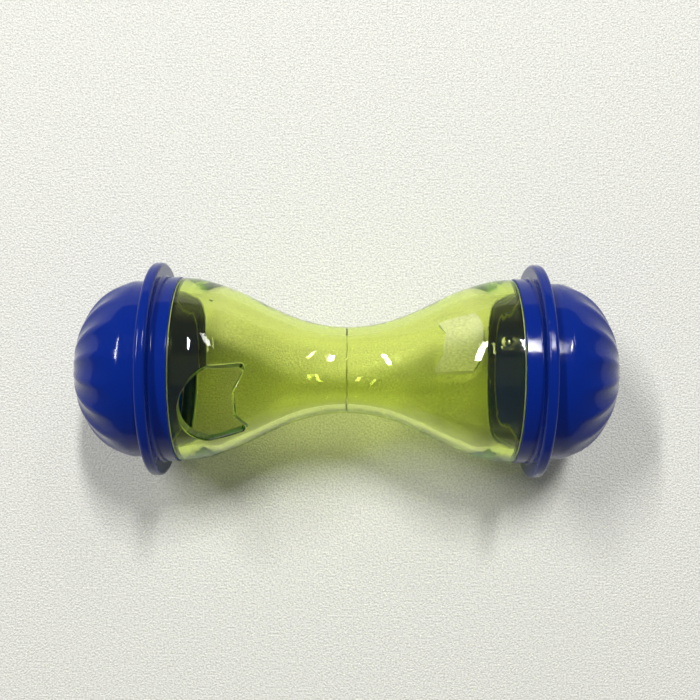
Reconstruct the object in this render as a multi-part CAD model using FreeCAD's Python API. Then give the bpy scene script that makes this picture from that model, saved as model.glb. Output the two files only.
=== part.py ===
import FreeCAD, Part
import math
import os

# Wobble treat dispenser: a clear hourglass body in two moulded halves, butt welded at the
# waist, with a treat opening shaped as a plain cat's head in each half. A hollow blue cap
# with a fluted dome and a rolling ring closes each end and pulls off to fill the body.
# Millimetres. +X runs along the toy, +Z is up, and the origin is on the axis at the weld.

# Driving dimensions of a body half
half_length = 41.65       # weld to shoulder
waist_radius = 11.0
shoulder_radius = 23.2
wall = 2.2
weld_gap = 0.05           # glue line between the two halves
weld_edge_break = 0.15
shoulder_round = 0.3      # the outline's edge beside the cap
neck_wall = 1.6           # under the neck, where the bore runs straight
mouth_depth = 3.65        # how far that straight bore starts before the shoulder
shoulder_slope = 0.02     # rise of the outline where it meets the shoulder
swell = ((0.233, 0.105), (0.466, 0.41), (0.679, 0.755), (0.851, 0.945))  # share of length, of rise
bore_swell = 3            # how many of those stations the bore follows

# The neck that goes into a cap
neck_length = 3.4
neck_step = 1.6           # shoulder down to neck
bead_height = 0.2
bead_offset = 1.25        # shoulder to the bead's middle
bead_half_width = 0.5

# The treat opening, seen square on: distances back from the shoulder and half widths
chin_back = 2.15
cheek_back = 8.65
ear_tip_back = 17.75
ear_height = 3.1          # ear tips over the brow
cheek_half_width = 9.3
ear_half_width = 8.2
brow_half_width = 3.4
cheek_round = 1.5
ear_round = 1.2
brow_round = 0.8
rim_round = 0.4

# The moulding gate's round mark
gate_back = 4.35          # from the shoulder
gate_radius = 1.35
gate_depth = 0.35
gate_from_opening = 137.0

# How the two halves lie in the photograph, turned about the long axis
left_roll = 24.5
right_roll = 204.5

# A cap
seat_gap = 0.1            # shoulder to collar
neck_clearance = 0.3
neck_end_gap = 0.3
collar_proud = 0.2        # how far the collar stands over the shoulder
collar_width = 4.2        # the collar's mouth to the ring
collar_round = 0.35       # edge of the collar's mouth
collar_fillet = 0.7       # in the corner under the ring
ring_height = 3.6         # over the collar
ring_width = 2.75
ring_round = 0.9          # both edges of the ring's crest
dome_inset = 1.1          # the dome's base inside the collar's face
dome_base = 3.6           # the plain straight part of the dome beside the ring
dome_depth = 16.3
cap_wall = 2.0

# The flutes round a dome
flute_count = 18
flute_depth = 0.8         # under the ridges, at the deepest
flute_end_angle = 82.0    # where they have run out, seen from the dome's middle
ridge_share = 0.3         # how much of the pitch the soft ridges take
pole_angle = 6.0          # the small flat at the pole, seen the same way
dome_sections = 10

# Picking edges: lengths are in millimetres
same_place = 0.01
touching = 0.001
search_margin = 1.0
shortest_rim_edge = 0.5
mostly_upright = 0.9      # part of a direction that points up

# Worked out from the sizes above
shoulder_at = half_length
neck_radius = shoulder_radius - neck_step
neck_end_at = shoulder_at + neck_length
mouth_radius = neck_radius - neck_wall
bore_straight_at = shoulder_at - mouth_depth
chin_at = shoulder_at - chin_back
cheek_at = shoulder_at - cheek_back
ear_tip_at = shoulder_at - ear_tip_back
brow_at = ear_tip_at + ear_height
gate_at = shoulder_at - gate_back
collar_at = shoulder_at + seat_gap
collar_radius = shoulder_radius + collar_proud
ring_at = collar_at + collar_width
ring_end_at = ring_at + ring_width
ring_radius = collar_radius + ring_height
dome_at = ring_end_at + dome_base
dome_radius = collar_radius - dome_inset
socket_radius = neck_radius + neck_clearance
socket_end_at = neck_end_at + neck_end_gap
cavity_radius = dome_radius - cap_wall
cavity_depth = dome_depth - cap_wall

X_AXIS = FreeCAD.Vector(1, 0, 0)
Z_AXIS = FreeCAD.Vector(0, 0, 1)
ORIGIN = FreeCAD.Vector(0, 0, 0)


def at(x, radius):
    """A point of a turned profile, drawn in the plane of X and Z."""
    return FreeCAD.Vector(x, 0, radius)


def line(start, end):
    return Part.LineSegment(start, end).toShape()


def arc(start, middle, end):
    return Part.Arc(start, middle, end).toShape()


def corner_arc(start, end, centre):
    """A quarter circle from start to end."""
    radius = (start - centre).Length
    outward = ((start + end) * 0.5 - centre).normalize()
    return arc(start, centre + outward * radius, end)


def smooth_curve(points, end_slope):
    """A curve that leaves its first point along the axis and ends at the given slope."""
    curve = Part.BSplineCurve()
    curve.interpolate(Points=points, InitialTangent=X_AXIS, FinalTangent=at(1, end_slope))
    return curve


def turned(edges):
    """The solid that a closed profile sweeps round the long axis."""
    face = Part.Face(Part.Wire(edges))
    return face.revolve(ORIGIN, X_AXIS, 360)


def outer_curve():
    """The hourglass outline from the weld to the shoulder."""
    rise = shoulder_radius - waist_radius
    start = weld_gap / 2
    points = [at(start, waist_radius)]
    for along, up in swell:
        points.append(at(along * half_length, waist_radius + up * rise))
    points.append(at(shoulder_at, shoulder_radius))
    return smooth_curve(points, shoulder_slope)


def bore_curve(outer):
    """The inside of the wall: one wall under the outline, then levelling into the mouth."""
    points = [at(weld_gap / 2, waist_radius - wall)]
    for along, up in swell[:bore_swell]:
        nearest = outer.parameter(at(along * half_length,
                                     waist_radius + up * (shoulder_radius - waist_radius)))
        direction = outer.tangent(nearest)[0]
        inward = FreeCAD.Vector(direction.z, 0, -direction.x)
        points.append(outer.value(nearest) + inward * wall)
    points.append(at(bore_straight_at, mouth_radius))
    return smooth_curve(points, 0)


def half_shell():
    """A body half without its opening, with the neck and its snap bead."""
    outer = outer_curve()
    bore = bore_curve(outer)
    start = weld_gap / 2
    outline = outer.copy()
    outline.segment(outer.parameter(at(start + weld_edge_break, waist_radius)),
                    outer.parameter(at(shoulder_at - shoulder_round, shoulder_radius)))
    outline_start = outline.StartPoint
    outline_end = outline.EndPoint
    shoulder_edge = at(shoulder_at, outline_end.z - shoulder_round)
    bead_at = shoulder_at + bead_offset
    bead_start = at(bead_at - bead_half_width, neck_radius)
    bead_end = at(bead_at + bead_half_width, neck_radius)
    edges = [
        line(at(start, waist_radius - wall), at(start, waist_radius - weld_edge_break)),
        line(at(start, waist_radius - weld_edge_break), outline_start),
        outline.toShape(),
        corner_arc(outline_end, shoulder_edge, at(outline_end.x, shoulder_edge.z)),
        line(shoulder_edge, at(shoulder_at, neck_radius)),
        line(at(shoulder_at, neck_radius), bead_start),
        arc(bead_start, at(bead_at, neck_radius + bead_height), bead_end),
        line(bead_end, at(neck_end_at, neck_radius)),
        line(at(neck_end_at, neck_radius), at(neck_end_at, mouth_radius)),
        line(at(neck_end_at, mouth_radius), at(bore_straight_at, mouth_radius)),
        bore.toShape(),
    ]
    return turned(edges)


def opening_cutter():
    """A prism with the cat's head outline, through the wall on the +Z side."""
    cheeks, ears, brows = (
        [FreeCAD.Vector(along, side * half_width, 0) for side in (1, -1)]
        for along, half_width in ((cheek_at, cheek_half_width), (ear_tip_at, ear_half_width),
                                  (brow_at, brow_half_width))
    )
    edges = [
        arc(cheeks[1], FreeCAD.Vector(chin_at, 0, 0), cheeks[0]),
        line(cheeks[0], ears[0]),
        line(ears[0], brows[0]),
        line(brows[0], brows[1]),
        line(brows[1], ears[1]),
        line(ears[1], cheeks[1]),
    ]
    prism = Part.Face(Part.Wire(edges)).extrude(Z_AXIS * collar_radius)
    for corners, radius in ((cheeks, cheek_round), (ears, ear_round), (brows, brow_round)):
        prism = prism.makeFillet(radius, upright_edges(prism, corners))
    return prism


def upright_edges(prism, corners):
    """The prism's edges that stand over the given corners."""
    found = []
    for edge in prism.Edges:
        box = edge.BoundBox
        foot = FreeCAD.Vector(box.Center.x, box.Center.y, 0)
        over_corner = any(foot.isEqual(corner, same_place) for corner in corners)
        if over_corner and box.ZLength > search_margin:
            found.append(edge)
    return found


def gate_cutter():
    """A ball that leaves the gate's shallow round mark in the outer face."""
    ball_radius = (gate_radius ** 2 + gate_depth ** 2) / (2 * gate_depth)
    outer = outer_curve()
    on_face = outer.value(outer.parameter(at(gate_at, shoulder_radius)))
    direction = outer.tangent(outer.parameter(on_face))[0]
    outward = FreeCAD.Vector(-direction.z, 0, direction.x)
    ball = Part.makeSphere(ball_radius, on_face + outward * (ball_radius - gate_depth))
    ball.rotate(ORIGIN, X_AXIS, gate_from_opening)
    return ball


def rim_edges(solid, cutter):
    """The edges that the opening leaves on the outer and inner faces of the wall."""
    found = []
    for edge in solid.Edges:
        box = edge.BoundBox
        inside = ear_tip_at - search_margin < box.XMin and box.XMax < chin_at + search_margin
        if not inside or box.ZMin < 0 or box.YLength + box.XLength < shortest_rim_edge:
            continue
        middle = Part.Vertex(edge.valueAt((edge.FirstParameter + edge.LastParameter) / 2))
        if min(middle.distToShape(face)[0] for face in cutter.Faces) > touching:
            continue
        ends = (edge.FirstParameter, edge.LastParameter)
        if max(abs(edge.tangentAt(end).z) for end in ends) < mostly_upright:
            found.append(edge)
    return found


def body_half():
    """One moulded half: the shell, its treat opening with a rounded rim, and the gate's mark."""
    cutter = opening_cutter()
    shell = rolled(half_shell(), 180)
    half = shell.cut(cutter)
    half = half.makeFillet(rim_round, rim_edges(half, cutter))
    return half.cut(gate_cutter())


def quarter_ellipse(middle_at, depth, radius):
    """A quarter of an ellipse from the axis down to its widest point."""
    if depth >= radius:
        ellipse = Part.Ellipse(at(middle_at + depth, 0), at(middle_at, radius), at(middle_at, 0))
        return ellipse.toShape(0, math.pi / 2)
    ellipse = Part.Ellipse(at(middle_at, radius), at(middle_at - depth, 0), at(middle_at, 0))
    return ellipse.toShape(3 * math.pi / 2, 2 * math.pi)


def fluted_section(angle):
    """The dome's outline across the axis: a hollow arc for each flute, a soft ridge between."""
    turn = math.radians(angle)
    x = dome_at + math.cos(turn) * dome_depth
    ridge = math.sin(turn) * dome_radius
    share = min(1, (angle - pole_angle) / (flute_end_angle - pole_angle))
    depth = flute_depth * math.sin(math.pi * share)
    half_pitch = math.pi / flute_count

    def point(radius, half_pitches):
        along_rim = half_pitches * half_pitch
        return FreeCAD.Vector(x, radius * math.sin(along_rim), radius * math.cos(along_rim))

    foot = ridge - depth * ridge_share
    arcs = []
    for flute in range(0, 2 * flute_count, 2):
        hollow_end = flute + 1 - ridge_share
        arcs.append(arc(point(foot, flute - 1 + ridge_share), point(ridge - depth, flute),
                        point(foot, hollow_end)))
        arcs.append(arc(point(foot, hollow_end), point(ridge, flute + 1),
                        point(foot, flute + 1 + ridge_share)))
    return Part.Wire(arcs)


def fluted_dome():
    """The solid dome beyond its plain base, lofted from the pole."""
    sections = []
    for step in range(dome_sections):
        angle = pole_angle + step * (90 - pole_angle) / (dome_sections - 1)
        sections.append(fluted_section(angle))
    return Part.makeLoft(sections, True, False)


def collar_and_ring():
    """The turned part of a cap, solid inside, from the collar's mouth to the fluted dome."""
    mouth_edge = at(collar_at, collar_radius - collar_round)
    collar_start = at(collar_at + collar_round, collar_radius)
    collar_end = at(ring_at - collar_fillet, collar_radius)
    ring_foot = at(ring_at, collar_radius + collar_fillet)
    crest_start = at(ring_at + ring_round, ring_radius)
    crest_end = at(ring_end_at - ring_round, ring_radius)
    ring_side = at(ring_at, ring_radius - ring_round)
    dome_side = at(ring_end_at, ring_radius - ring_round)
    return turned([
        line(at(collar_at, 0), mouth_edge),
        corner_arc(mouth_edge, collar_start, at(collar_start.x, mouth_edge.z)),
        line(collar_start, collar_end),
        corner_arc(collar_end, ring_foot, at(collar_end.x, ring_foot.z)),
        line(ring_foot, ring_side),
        corner_arc(ring_side, crest_start, at(crest_start.x, ring_side.z)),
        line(crest_start, crest_end),
        corner_arc(crest_end, dome_side, at(crest_end.x, dome_side.z)),
        line(dome_side, at(ring_end_at, dome_radius)),
        line(at(ring_end_at, dome_radius), at(dome_at, dome_radius)),
        line(at(dome_at, dome_radius), at(dome_at, 0)),
        line(at(dome_at, 0), at(collar_at, 0)),
    ])


def cap_hollow():
    """The room inside a cap: the socket for the neck and the dome's cavity."""
    cavity_end = at(dome_at + cavity_depth, 0)
    return turned([
        line(at(collar_at, 0), at(collar_at, socket_radius)),
        line(at(collar_at, socket_radius), at(socket_end_at, socket_radius)),
        line(at(socket_end_at, socket_radius), at(socket_end_at, cavity_radius)),
        line(at(socket_end_at, cavity_radius), at(dome_at, cavity_radius)),
        quarter_ellipse(dome_at, cavity_depth, cavity_radius),
        line(cavity_end, at(collar_at, 0)),
    ])


def end_cap():
    """One moulding: collar, rolling ring and fluted dome, hollow inside."""
    return collar_and_ring().fuse(fluted_dome()).cut(cap_hollow())


def turned_round(shape):
    """The same moulding at the other end of the toy."""
    other = shape.copy()
    other.rotate(ORIGIN, Z_AXIS, 180)
    return other


def rolled(shape, degrees):
    """The shape turned about the long axis, +Z towards -Y."""
    turned_shape = shape.copy()
    turned_shape.rotate(ORIGIN, X_AXIS, degrees)
    return turned_shape


def main():
    half = body_half()
    cap = end_cap()
    nodes = {
        "left_body_half": rolled(turned_round(half), left_roll),
        "right_body_half": rolled(half, right_roll),
        "left_end_cap": turned_round(cap),
        "right_end_cap": cap,
    }
    os.makedirs("parts", exist_ok=True)
    for name, shape in nodes.items():
        solids = shape.Solids
        solid = solids[0]
        solid.exportStep("parts/" + name + ".step")
        box = solid.BoundBox
        print(name, "solids", len(solids), "valid", solid.isValid(), "volume", round(solid.Volume),
              "faces", len(solid.Faces), "x", round(box.XMin, 2), round(box.XMax, 2),
              "z", round(box.ZMin, 2), round(box.ZMax, 2))


main()
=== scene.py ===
# %% [markdown]
# # A rolling treat dispenser in clear green and blue plastic
# The toy is an hourglass of see-through yellow green plastic with a fluted blue cap on each
# end. Every solid of it comes from the CAD model, so this lesson is about what CAD can't give:
# plastic that bends light, a shine that fits a moulded cap, and a table and lamps that show both.
# We work in metres. The toy lies along X, Z is up, and the table is under the two rolling rings.

# %% Load the solids
import math
import bpy
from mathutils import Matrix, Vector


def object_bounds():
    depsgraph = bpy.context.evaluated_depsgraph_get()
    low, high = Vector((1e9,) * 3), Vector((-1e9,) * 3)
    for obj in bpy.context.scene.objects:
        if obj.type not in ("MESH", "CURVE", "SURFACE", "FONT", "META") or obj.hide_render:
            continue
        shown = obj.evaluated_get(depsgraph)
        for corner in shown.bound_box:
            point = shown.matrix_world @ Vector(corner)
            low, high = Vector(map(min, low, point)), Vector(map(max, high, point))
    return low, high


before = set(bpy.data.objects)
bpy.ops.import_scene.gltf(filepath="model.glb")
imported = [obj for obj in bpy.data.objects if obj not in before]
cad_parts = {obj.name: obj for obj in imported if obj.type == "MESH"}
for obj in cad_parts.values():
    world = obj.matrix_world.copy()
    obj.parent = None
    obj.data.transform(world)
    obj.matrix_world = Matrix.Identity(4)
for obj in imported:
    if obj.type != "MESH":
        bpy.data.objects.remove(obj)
cad_low, cad_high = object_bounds()
body_halves = [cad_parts["left_body_half"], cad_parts["right_body_half"]]
end_caps = [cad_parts["left_end_cap"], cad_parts["right_end_cap"]]
toy_size = cad_high - cad_low
table_height = cad_low.z
print("toy", [round(1000 * side, 1) for side in toy_size], "mm, table at", round(1000 * table_height, 2))

# %% [markdown]
# ## Helpers for materials
# A Blender material is a graph of nodes. These short helpers keep the recipes below readable: one
# starts an empty graph, one adds a node with its input sockets filled in by name, one does a step
# of arithmetic on numbers and sockets, and one makes the noise that every finish here uses.

# %% Material helpers
def new_finish(name):
    """An empty material and its node graph."""
    finish = bpy.data.materials.new(name)
    finish.use_nodes = True
    finish.node_tree.nodes.clear()
    return finish, finish.node_tree


def add_node(graph, kind, label, **sockets):
    """One node, with its input sockets set by name (an underscore stands for a space)."""
    node = graph.nodes.new(kind)
    node.label = label
    for name, value in sockets.items():
        node.inputs[name.replace("_", " ")].default_value = value
    return node


def work_out(graph, label, operation, *terms, kind="ShaderNodeMath"):
    """A step of arithmetic. Each term is a plain number or vector, or the socket it comes from."""
    node = add_node(graph, kind, label)
    node.operation = operation
    for place, term in enumerate(terms):
        if isinstance(term, bpy.types.NodeSocket):
            graph.links.new(term, node.inputs[place])
        else:
            node.inputs[place].default_value = term
    return node.outputs


def grain(graph, label, scale, detail=2.0):
    """Noise that sits still on the plastic, because it reads the piece's own coordinates."""
    place = add_node(graph, "ShaderNodeTexCoord", "where on the piece")
    noise = add_node(graph, "ShaderNodeTexNoise", label, Scale=scale, Detail=detail)
    graph.links.new(place.outputs["Object"], noise.inputs["Vector"])
    return noise


# %% [markdown]
# ## Cut edges of the openings
# The walls of the real body are polished, but the edges of its cat-head openings come from the
# mould a little frosted, so they catch the light as bright green lines. The material can find
# them by itself. A turned wall never faces sideways round the axis and never quite along it,
# while a cut edge always does one or the other. The flat ends of each half face along the axis
# too, so they get the same frost, and that suits them: they were parted and not polished.

# %% Cut edges of the openings
def rim_share(graph):
    """1 on the cut edges of the openings and on flat ends, 0 on the turned walls."""
    place = add_node(graph, "ShaderNodeTexCoord", "where on the body")
    facing = add_node(graph, "ShaderNodeNewGeometry", "which way it faces")
    vector = "ShaderNodeVectorMath"
    along_axis = (1, 0, 0)
    normal = facing.outputs["Normal"]
    around = work_out(graph, "round the axis", "CROSS_PRODUCT", along_axis, place.outputs["Object"],
                      kind=vector)
    one_long = work_out(graph, "one long", "NORMALIZE", around["Vector"], kind=vector)
    sideways = work_out(graph, "sideways", "DOT_PRODUCT", one_long["Vector"], normal, kind=vector)
    either_side = work_out(graph, "either side", "ABSOLUTE", sideways["Value"])
    parts = add_node(graph, "ShaderNodeSeparateXYZ", "along the axis")
    graph.links.new(normal, parts.inputs["Vector"])
    either_end = work_out(graph, "either end", "ABSOLUTE", parts.outputs["X"])
    larger = work_out(graph, "the larger", "MAXIMUM", either_side["Value"], either_end["Value"])
    share = add_node(graph, "ShaderNodeMapRange", "share of rim",
                     From_Min=0.72, From_Max=0.85, To_Min=0.0, To_Max=1.0)
    graph.links.new(larger["Value"], share.inputs["Value"])
    return share.outputs["Result"]


# %% [markdown]
# ## Lamp light through the body
# A path tracer seldom finds a lamp through a bent wall, so much of the light in the toy's shadow
# would get lost. For shadow rays alone the surface turns into a plain see-through one. A real
# shadow like this is no even grey: the narrow waist gathers light, the wide ends and every wall
# met edge on turn it away, and the side that faces the lamps is the brighter one. So each of
# those has its say in how much light a ray keeps, and a slow noise adds a few streaks.

# %% Lamp light through the body
def light_passed(graph):
    """What a lamp's ray keeps at each surface, as a colour."""
    shade_per_metre = 26.0
    away_from_lamps = (-2.0, -24.0, 0.0)
    streak_strength = 2.4
    place = add_node(graph, "ShaderNodeTexCoord", "where on the body")
    parts = add_node(graph, "ShaderNodeSeparateXYZ", "along the axis")
    graph.links.new(place.outputs["Object"], parts.inputs["Vector"])
    from_waist = work_out(graph, "distance from the waist", "ABSOLUTE", parts.outputs["X"])
    edge_on = add_node(graph, "ShaderNodeLayerWeight", "how edge on", Blend=0.28)
    wide_end = work_out(graph, "edge on or wide end", "MULTIPLY_ADD",
                        from_waist["Value"], shade_per_metre, edge_on.outputs["Facing"])
    lamp_side = work_out(graph, "lamp side", "DOT_PRODUCT",
                         place.outputs["Object"], away_from_lamps, kind="ShaderNodeVectorMath")
    either_reason = work_out(graph, "either reason", "ADD", wide_end["Value"], lamp_side["Value"])
    streaks = grain(graph, "streaks in the shadow", 75.0, 1.0)
    held_back = work_out(graph, "held back", "MULTIPLY_ADD",
                         streaks.outputs["Fac"], streak_strength, either_reason["Value"])
    span = add_node(graph, "ShaderNodeMapRange", "span",
                    From_Min=0.80, From_Max=2.1, To_Min=0.0, To_Max=1.0)
    graph.links.new(held_back["Value"], span.inputs["Value"])
    passed = add_node(graph, "ShaderNodeValToRGB", "light let through")
    passed.color_ramp.elements[0].color = (0.925, 0.925, 0.82, 1.0)
    passed.color_ramp.elements[1].color = (0.05, 0.05, 0.03, 1.0)
    graph.links.new(span.outputs["Result"], passed.inputs["Fac"])
    return passed.outputs["Color"]


# %% [markdown]
# ## Clear green plastic
# The real body is polished inside and out, about 2 mm thick, and tinted all through. A surface
# colour would tint thin and thick places alike. Absorption inside the solid is the better way:
# light that runs along the wall, as it does at the cut edges of the openings, comes out a deep
# green, and light that crosses it once is only tinged. The solids are closed, so it works as is.

# %% Clear green plastic
def make_clear_plastic():
    rim_frost = 0.34
    finish, graph = new_finish("clear_green_plastic")
    wall = add_node(graph, "ShaderNodeBsdfPrincipled", "polished wall",
                    Base_Color=(1.0, 1.0, 0.72, 1.0), Transmission_Weight=0.995, IOR=1.52)
    moulding = grain(graph, "slow waves of the moulding", 90.0)
    waves = add_node(graph, "ShaderNodeBump", "waves", Strength=0.02, Distance=0.0004)
    graph.links.new(moulding.outputs["Fac"], waves.inputs["Height"])
    graph.links.new(waves.outputs["Normal"], wall.inputs["Normal"])

    handling = grain(graph, "light handling marks", 900.0, 4.0)
    haze = add_node(graph, "ShaderNodeMapRange", "haze",
                    From_Min=0.4, From_Max=0.8, To_Min=0.015, To_Max=0.06)
    graph.links.new(handling.outputs["Fac"], haze.inputs["Value"])
    frost = work_out(graph, "frost on the rims", "MULTIPLY_ADD",
                     rim_share(graph), rim_frost, haze.outputs["Result"])
    graph.links.new(frost["Value"], wall.inputs["Roughness"])

    lamp_way = add_node(graph, "ShaderNodeBsdfTransparent", "way through for lamps")
    graph.links.new(light_passed(graph), lamp_way.inputs["Color"])
    which_ray = add_node(graph, "ShaderNodeLightPath", "which ray")
    either = add_node(graph, "ShaderNodeMixShader", "wall or way through")
    graph.links.new(which_ray.outputs["Is Shadow Ray"], either.inputs["Fac"])
    graph.links.new(wall.outputs["BSDF"], either.inputs[1])
    graph.links.new(lamp_way.outputs["BSDF"], either.inputs[2])

    tint = add_node(graph, "ShaderNodeVolumeAbsorption", "tint",
                    Color=(0.89, 0.962, 0.46, 1.0), Density=340.0)
    out = add_node(graph, "ShaderNodeOutputMaterial", "out")
    graph.links.new(either.outputs["Shader"], out.inputs["Surface"])
    graph.links.new(tint.outputs["Volume"], out.inputs["Volume"])
    return finish


clear_plastic = make_clear_plastic()
print("made", clear_plastic.name, "with", len(clear_plastic.node_tree.nodes), "nodes")

# %% [markdown]
# ## Blue cap plastic
# The caps are opaque, deep blue and glossy straight from the mould. A dielectric with a clean
# clear reflection does that. Slow waves in the surface break up long highlights a little, as
# sink marks do on a real moulding, and fine marks from use change the roughness here and there.

# %% Blue cap plastic
def make_cap_plastic():
    finish, graph = new_finish("blue_cap_plastic")
    skin = add_node(graph, "ShaderNodeBsdfPrincipled", "glossy skin",
                    Base_Color=(0.0025, 0.019, 0.21, 1.0), IOR=1.30)
    marks = grain(graph, "marks from use", 700.0, 5.0)
    gloss = add_node(graph, "ShaderNodeMapRange", "gloss",
                     From_Min=0.35, From_Max=0.75, To_Min=0.09, To_Max=0.18)
    graph.links.new(marks.outputs["Fac"], gloss.inputs["Value"])
    graph.links.new(gloss.outputs["Result"], skin.inputs["Roughness"])

    sink = grain(graph, "sink marks", 70.0)
    waves = add_node(graph, "ShaderNodeBump", "waves", Strength=0.08, Distance=0.0006)
    graph.links.new(sink.outputs["Fac"], waves.inputs["Height"])
    graph.links.new(waves.outputs["Normal"], skin.inputs["Normal"])

    out = add_node(graph, "ShaderNodeOutputMaterial", "out")
    graph.links.new(skin.outputs["BSDF"], out.inputs["Surface"])
    return finish


cap_plastic = make_cap_plastic()
print("made", cap_plastic.name, "with", len(cap_plastic.node_tree.nodes), "nodes")

# %% [markdown]
# ## Dress the solids
# A CAD solid that already has the right shape keeps its mesh, and only its material slots change.

# %% Dress the solids
def dress(solid, finish):
    solid.data.materials.clear()
    solid.data.materials.append(finish)
    print(solid.name, len(solid.data.polygons), "faces in", finish.name)


for half in body_halves:
    dress(half, clear_plastic)
for cap in end_caps:
    dress(cap, cap_plastic)

# %% [markdown]
# ## The table
# The toy lies on a pale sheet with a silvery grain. The grain matters here, because the body
# shows it through two walls of plastic. Fine noise does it: a little in the colour, and a little
# in the slope, so that single grains catch the lamps.

# %% The table
def make_table_finish():
    finish, graph = new_finish("silvery_table")
    sheet = add_node(graph, "ShaderNodeBsdfPrincipled", "sheet", Roughness=0.42)
    grains = grain(graph, "silvery grain", 1900.0, 2.0)
    tone = add_node(graph, "ShaderNodeValToRGB", "tone of the grain")
    tone.color_ramp.elements[0].position = 0.32
    tone.color_ramp.elements[0].color = (0.655, 0.655, 0.60, 1.0)
    tone.color_ramp.elements[1].position = 0.66
    tone.color_ramp.elements[1].color = (0.915, 0.915, 0.84, 1.0)
    graph.links.new(grains.outputs["Fac"], tone.inputs["Fac"])
    graph.links.new(tone.outputs["Color"], sheet.inputs["Base Color"])
    slope = add_node(graph, "ShaderNodeBump", "grain in the slope", Strength=0.7, Distance=0.0005)
    graph.links.new(grains.outputs["Fac"], slope.inputs["Height"])
    graph.links.new(slope.outputs["Normal"], sheet.inputs["Normal"])
    out = add_node(graph, "ShaderNodeOutputMaterial", "out")
    graph.links.new(sheet.outputs["BSDF"], out.inputs["Surface"])
    return finish


def make_table():
    reach = 3.0
    corners = [(-reach, -reach, 0), (reach, -reach, 0), (reach, reach, 0), (-reach, reach, 0)]
    sheet_mesh = bpy.data.meshes.new("table")
    sheet_mesh.from_pydata(corners, [], [(0, 1, 2, 3)])
    table = bpy.data.objects.new("table", sheet_mesh)
    table.location.z = table_height
    table.data.materials.append(make_table_finish())
    bpy.context.scene.collection.objects.link(table)
    return table


table = make_table()
print("table", table.name, "at", round(1000 * table.location.z, 2), "mm")

# %% [markdown]
# ## Lamps
# The highlights on the toy are short bright streaks, so the lamps are long narrow rows on the
# ceiling, behind the toy, that run away from the viewer. They face straight down, as ceiling
# lamps do. The middle row is the nearest and casts the darkest shadow, the left row casts the
# paler one to the right. A wide dim lamp stands for the light that the ceiling gives back, and
# it stays out of reflections, where a real ceiling would show dark against the rows.

# %% Lamps
def lamp_row(name, middle, width, length, watts):
    """A row of ceiling lamps that faces straight down, its long side along Y."""
    lamp = bpy.data.lights.new(name, "AREA")
    lamp.shape = "RECTANGLE"
    lamp.size = width
    lamp.size_y = length
    lamp.energy = watts
    row = bpy.data.objects.new(name, lamp)
    row.location = middle
    bpy.context.scene.collection.objects.link(row)
    print("lamp", name, "at", [round(side, 2) for side in middle], watts, "W")
    return row


lamp_row("row_left", middle=(-1.15, 1.15, 2.0), width=0.14, length=1.20, watts=43.0)
lamp_row("row_middle", middle=(0.42, 1.28, 2.0), width=0.16, length=0.70, watts=41.5)
lamp_row("row_right", middle=(1.10, 1.80, 2.0), width=0.12, length=1.00, watts=6.0)
ceiling_bounce = lamp_row("ceiling_bounce", middle=(0, 0, 2.2), width=1.6, length=1.6, watts=1.8)
ceiling_bounce.visible_glossy = False

# %% [markdown]
# ## The room
# Straight above the toy is the dark shape of whoever looks at it, and the pale walls stand all
# round. So the world is dim overhead and brightens towards the horizon. That keeps the tops of
# the caps deep blue and lights their sides. The camera itself sees a plain pale backdrop, and it
# sees the same one through the clear walls, low over the table.

# %% The room
def make_world():
    world = bpy.data.worlds.new("pale_room")
    world.use_nodes = True
    graph = world.node_tree
    graph.nodes.clear()
    place = add_node(graph, "ShaderNodeTexCoord", "direction in the room")
    parts = add_node(graph, "ShaderNodeSeparateXYZ", "height of the direction")
    level = add_node(graph, "ShaderNodeMapRange", "dim overhead",
                     From_Min=0.1, From_Max=0.9, To_Min=0.18, To_Max=0.06)
    low_part = add_node(graph, "ShaderNodeMapRange", "seen through plastic",
                        From_Min=0.08, From_Max=0.35, To_Min=0.85, To_Max=0.0)
    room = add_node(graph, "ShaderNodeBackground", "room light", Color=(0.95, 0.97, 1.0, 1.0))
    backdrop = add_node(graph, "ShaderNodeBackground", "backdrop",
                        Color=(0.86, 0.86, 0.82, 1.0), Strength=1.0)
    which_ray = add_node(graph, "ShaderNodeLightPath", "which ray")
    either = add_node(graph, "ShaderNodeMixShader", "room or backdrop")
    out = add_node(graph, "ShaderNodeOutputWorld", "out")
    graph.links.new(place.outputs["Generated"], parts.inputs["Vector"])
    graph.links.new(parts.outputs["Z"], level.inputs["Value"])
    graph.links.new(parts.outputs["Z"], low_part.inputs["Value"])
    graph.links.new(level.outputs["Result"], room.inputs["Strength"])
    backdrop_share = work_out(graph, "share of backdrop", "MULTIPLY_ADD",
                              which_ray.outputs["Is Transmission Ray"], low_part.outputs["Result"],
                              which_ray.outputs["Is Camera Ray"])
    graph.links.new(backdrop_share["Value"], either.inputs["Fac"])
    graph.links.new(room.outputs["Background"], either.inputs[1])
    graph.links.new(backdrop.outputs["Background"], either.inputs[2])
    graph.links.new(either.outputs["Shader"], out.inputs["Surface"])
    bpy.context.scene.world = world
    return world


print("world", make_world().name)

# %% [markdown]
# ## Camera
# The toy was photographed from straight above, close by, which is why the far ends of the caps
# curve out of sight. The camera hangs 245 mm over the toy's axis, a little to the far side.
# Light that runs along the inside of a clear wall turns many corners before it gets out, so the
# renderer may follow it for longer than usual.

# %% Camera
def make_camera():
    lens = bpy.data.cameras.new("camera")
    lens.sensor_width = 36.0
    lens.lens = 49.37
    lens.clip_start = 0.01
    camera = bpy.data.objects.new("camera", lens)
    camera.location = (0.0008, 0.0051, 0.245)
    camera.rotation_euler = (0, 0, math.radians(0.38))
    bpy.context.scene.collection.objects.link(camera)
    bpy.context.scene.camera = camera
    return camera


camera = make_camera()
bpy.context.scene.view_settings.view_transform = "Standard"
bpy.context.scene.cycles.max_bounces = 48
bpy.context.scene.cycles.transmission_bounces = 48
bpy.context.scene.cycles.glossy_bounces = 16
print("camera", [round(1000 * side, 1) for side in camera.location], "mm")
